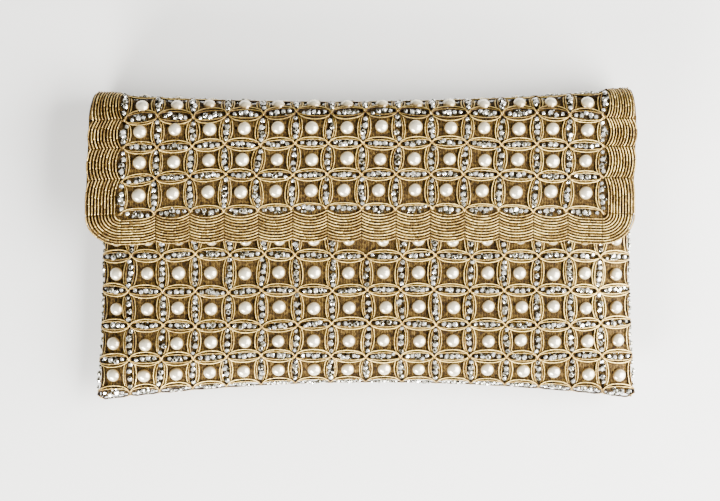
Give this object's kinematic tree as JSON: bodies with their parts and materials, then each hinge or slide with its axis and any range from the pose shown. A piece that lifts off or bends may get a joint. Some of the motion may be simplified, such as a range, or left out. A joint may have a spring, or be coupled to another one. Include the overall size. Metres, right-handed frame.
{
  "type": "clutch purse",
  "caption": "Fold-over evening clutch, lying flat, covered in a lattice of gold cord, half pearls and crystals, with a scalloped cord border on its flap and a magnetic snap.",
  "frame": {"origin": "middle of the bag's outline, on the surface that its back lies on", "axes": "+X to the bag's right seen from the front, +Y towards the folded top edge, +Z out of the front"},
  "size_m": [0.258, 0.143, 0.0322],
  "materials": {
    "gold_cord": "metallic gold thread cord with a satin glint",
    "gold_bullion": "close-laid metallic gold bullion cord",
    "pearl": "pearlescent cream, glossy",
    "crystal": "clear foiled crystal, faceted",
    "ground_fabric": "tan plain weave, matte",
    "stiffener_board": "plain grey board",
    "interlining": "soft white non-woven",
    "satin_lining": "champagne satin",
    "snap_metal": "polished light gold plate",
    "magnet": "dull dark grey"
  },
  "bodies": {
    "bag": {"back_embroidery": "gold_cord", "back_fabric": "ground_fabric", "back_board": "stiffener_board", "back_lining": "satin_lining", "slip_pocket": "satin_lining", "front_embroidery": "gold_cord", "front_fabric": "ground_fabric", "front_board": "stiffener_board", "front_lining": "satin_lining", "snap_socket_case": "snap_metal", "snap_magnet": "magnet", "snap_socket_base": "snap_metal", "snap_socket_washer": "snap_metal"},
    "spine": {"fold_embroidery": "gold_cord", "fold_fabric": "ground_fabric", "fold_interlining": "interlining", "fold_lining": "satin_lining"},
    "flap": {"flap_embroidery": "gold_cord", "flap_border": "gold_bullion", "flap_fabric": "ground_fabric", "flap_board": "stiffener_board", "flap_lining": "satin_lining", "snap_stud": "snap_metal", "snap_stud_washer": "snap_metal"}
  },
  "joints": [
    {"name": "spine_fold", "type": "hinge", "parent": "bag", "child": "spine", "pos_m": [0, 0.06596, 0.00554], "axis": [-1, 0, 0], "range_deg": [0, 90]},
    {"name": "flap_fold", "type": "hinge", "parent": "spine", "child": "flap", "pos_m": [0, 0.06596, 0.02666], "axis": [-1, 0, 0], "range_deg": [0, 90]}
  ]
}
